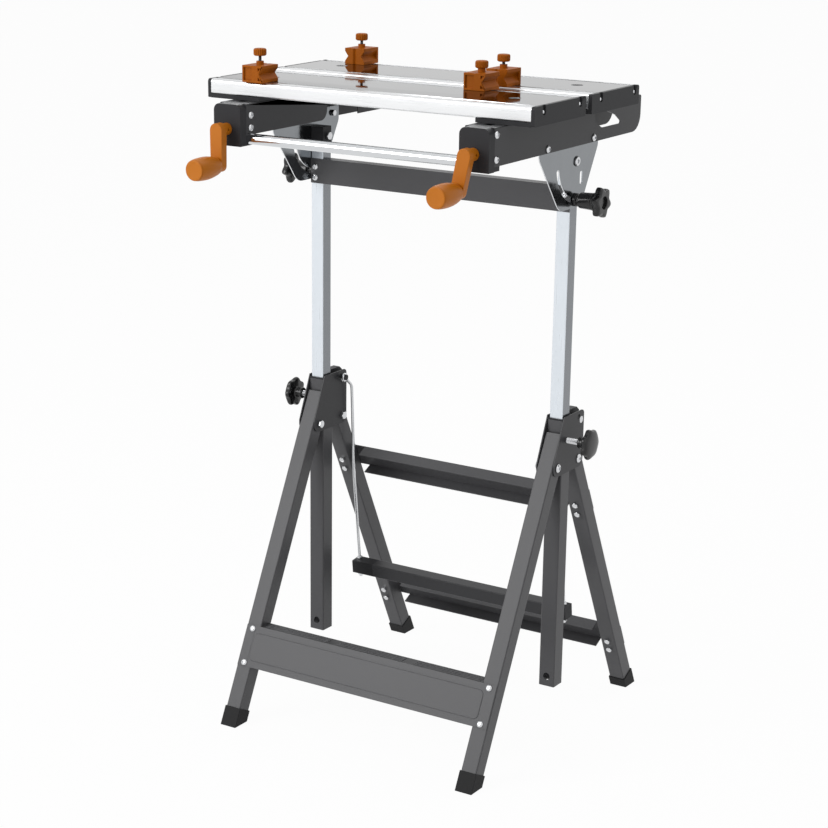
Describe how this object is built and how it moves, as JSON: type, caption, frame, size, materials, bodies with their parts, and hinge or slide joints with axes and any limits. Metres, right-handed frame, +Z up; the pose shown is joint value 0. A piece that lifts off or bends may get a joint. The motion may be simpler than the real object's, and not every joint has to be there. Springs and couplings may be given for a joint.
{
  "type": "folding workbench",
  "caption": "Folding workbench with a tilting, height adjustable top: two aluminium clamping jaws on crank screws, sliding dogs, telescopic posts, splayed folding legs.",
  "frame": {"origin": "on the floor under the middle of the whole bench, cranks and feet counted", "axes": "+X to the right along the jaws, +Y to the back, away from the cranks, +Z up"},
  "size_m": [0.6276, 0.6836, 1.1886],
  "materials": {
    "dark_steel": "fine textured powder coat",
    "zinc": "satin zinc plating",
    "bright_steel": "bright zinc plating",
    "chrome_tube": "polished",
    "aluminium": "brushed along the length",
    "black_plastic": "fine grain",
    "orange_plastic": "satin",
    "rubber": "matt"
  },
  "bodies": {
    "stand": {"centre_tubes": "dark_steel", "hub_plates": "dark_steel", "pivot_bolts": "bright_steel", "post_guides": "black_plastic", "latch_pins": "bright_steel"},
    "front_leg_frame": {"front_legs": "dark_steel", "front_step_panel": "dark_steel", "front_panel_bolts": "bright_steel", "front_feet": "rubber"},
    "rear_leg_frame": {"rear_legs": "dark_steel", "rear_upper_bar": "dark_steel", "rear_lower_bar": "dark_steel", "rear_bar_bolts": "bright_steel", "rear_feet": "rubber"},
    "release_bail": {"release_latches": "black_plastic", "release_rods": "bright_steel", "release_bar": "dark_steel", "release_sleeves": "black_plastic", "release_nuts": "bright_steel"},
    "upper_frame": {"inner_posts": "zinc", "post_caps": "black_plastic", "upper_crossbar": "dark_steel", "crossbar_bolts": "bright_steel", "tilt_pivot_bolts": "bright_steel"},
    "table": {"arm_left": "dark_steel", "arm_right": "dark_steel", "arm_housings": "black_plastic", "arm_screws": "bright_steel", "tie_tube": "chrome_tube", "tilt_plates": "zinc", "tilt_plate_bolts": "bright_steel", "rear_jaw": "aluminium", "rear_jaw_ends": "black_plastic", "rear_jaw_screws": "bright_steel"},
    "front_jaw_carriage": {"front_jaw": "aluminium", "front_jaw_ends": "black_plastic", "front_jaw_screws": "bright_steel", "jaw_nuts": "bright_steel"},
    "crank_set_left": {"crank_left": "orange_plastic", "lead_screw_left": "bright_steel"},
    "crank_set_right": {"crank_right": "orange_plastic", "lead_screw_right": "bright_steel"},
    "grip_left": {"crank_grip_left": "orange_plastic"},
    "grip_right": {"crank_grip_right": "orange_plastic"},
    "dog_front_left_block": {"dog_front_left": "orange_plastic", "dog_nut_front_left": "bright_steel"},
    "dog_front_left_knob": {"dog_knob_front_left": "orange_plastic"},
    "dog_rear_left_block": {"dog_rear_left": "orange_plastic", "dog_nut_rear_left": "bright_steel"},
    "dog_rear_left_knob": {"dog_knob_rear_left": "orange_plastic"},
    "dog_front_right_block": {"dog_front_right": "orange_plastic", "dog_nut_front_right": "bright_steel"},
    "dog_front_right_knob": {"dog_knob_front_right": "orange_plastic"},
    "dog_rear_right_block": {"dog_rear_right": "orange_plastic", "dog_nut_rear_right": "bright_steel"},
    "dog_rear_right_knob": {"dog_knob_rear_right": "orange_plastic"},
    "tilt_knob_left_body": {"tilt_knob_left": "black_plastic"},
    "height_knob_left_body": {"height_knob_left": "black_plastic"},
    "tilt_knob_right_body": {"tilt_knob_right": "black_plastic"},
    "height_knob_right_body": {"height_knob_right": "black_plastic"}
  },
  "joints": [
    {"name": "front_legs_fold", "type": "hinge", "parent": "stand", "child": "front_leg_frame", "pos_m": [0, 0.00502, 0.50333], "axis": [1, 0, 0], "range_deg": [0, 26]},
    {"name": "rear_legs_fold", "type": "hinge", "parent": "stand", "child": "rear_leg_frame", "pos_m": [0, 0.07802, 0.50333], "axis": [1, 0, 0], "range_deg": [-26, 0]},
    {"name": "release_swing", "type": "hinge", "parent": "stand", "child": "release_bail", "pos_m": [0, 0.08202, 0.57183], "axis": [1, 0, 0], "range_deg": [-10.4, 0]},
    {"name": "height_slide", "type": "slide", "parent": "stand", "child": "upper_frame", "axis": [0, 0, 1], "range_m": [-0.3, 0]},
    {"name": "table_tilt", "type": "hinge", "parent": "upper_frame", "child": "table", "pos_m": [0, 0.03602, 1.01832], "axis": [1, 0, 0], "range_deg": [0, 80]},
    {"name": "front_jaw_slide", "type": "slide", "parent": "table", "child": "front_jaw_carriage", "axis": [0, 1, 0], "range_m": [-0.06, 0.0195]},
    {"name": "crank_turn_left", "type": "hinge", "parent": "table", "child": "crank_set_left", "pos_m": [-0.2348, -0.28198, 1.06312], "axis": [0, 1, 0], "range_deg": [-5401, 1756]},
    {"name": "crank_turn_right", "type": "hinge", "parent": "table", "child": "crank_set_right", "pos_m": [0.2348, -0.28198, 1.06312], "axis": [0, 1, 0], "range_deg": [-5401, 1756]},
    {"name": "grip_spin_left", "type": "hinge", "parent": "crank_set_left", "child": "grip_left", "pos_m": [-0.2348, -0.31198, 1.00612], "axis": [0, 1, 0], "continuous": true},
    {"name": "grip_spin_right", "type": "hinge", "parent": "crank_set_right", "child": "grip_right", "pos_m": [0.22295, -0.31198, 1.00737], "axis": [0, 1, 0], "continuous": true},
    {"name": "dog_slide_front_left", "type": "slide", "parent": "front_jaw_carriage", "child": "dog_front_left_block", "axis": [1, 0, 0], "range_m": [-0.049, 0.488]},
    {"name": "dog_knob_turn_front_left", "type": "hinge", "parent": "dog_front_left_block", "child": "dog_front_left_knob", "pos_m": [-0.215, -0.18498, 1.17262], "axis": [0, 0, 1], "range_deg": [-720, 720]},
    {"name": "dog_slide_rear_left", "type": "slide", "parent": "table", "child": "dog_rear_left_block", "axis": [1, 0, 0], "range_m": [-0.0385, 0.4875]},
    {"name": "dog_knob_turn_rear_left", "type": "hinge", "parent": "dog_rear_left_block", "child": "dog_rear_left_knob", "pos_m": [-0.2255, 0.13302, 1.17262], "axis": [0, 0, 1], "range_deg": [-720, 720]},
    {"name": "dog_slide_front_right", "type": "slide", "parent": "front_jaw_carriage", "child": "dog_front_right_block", "axis": [1, 0, 0], "range_m": [-0.4, 0.13]},
    {"name": "dog_knob_turn_front_right", "type": "hinge", "parent": "dog_front_right_block", "child": "dog_front_right_knob", "pos_m": [0.134, -0.06098, 1.17262], "axis": [0, 0, 1], "range_deg": [-720, 720]},
    {"name": "dog_slide_rear_right", "type": "slide", "parent": "table", "child": "dog_rear_right_block", "axis": [1, 0, 0], "range_m": [-0.4, 0.13]},
    {"name": "dog_knob_turn_rear_right", "type": "hinge", "parent": "dog_rear_right_block", "child": "dog_rear_right_knob", "pos_m": [0.134, 0.00902, 1.17262], "axis": [0, 0, 1], "range_deg": [-720, 720]},
    {"name": "tilt_knob_turn_left", "type": "hinge", "parent": "upper_frame", "child": "tilt_knob_left_body", "pos_m": [-0.28, 0.03602, 0.95532], "axis": [1, 0, 0], "range_deg": [-720, 720]},
    {"name": "height_knob_turn_left", "type": "hinge", "parent": "stand", "child": "height_knob_left_body", "pos_m": [-0.29, 0.03602, 0.54544], "axis": [1, 0, 0], "range_deg": [-720, 720]},
    {"name": "tilt_knob_turn_right", "type": "hinge", "parent": "upper_frame", "child": "tilt_knob_right_body", "pos_m": [0.28, 0.03602, 0.95532], "axis": [1, 0, 0], "range_deg": [-720, 720]},
    {"name": "height_knob_turn_right", "type": "hinge", "parent": "stand", "child": "height_knob_right_body", "pos_m": [0.29, 0.03602, 0.54544], "axis": [1, 0, 0], "range_deg": [-720, 720]}
  ],
  "couplings": [
    {"joint": "release_swing", "follows": "rear_legs_fold", "ratio": 0.4},
    {"joint": "crank_turn_left", "follows": "front_jaw_slide", "rad_per_m": 1570.8},
    {"joint": "crank_turn_right", "follows": "front_jaw_slide", "rad_per_m": 1570.8}
  ]
}
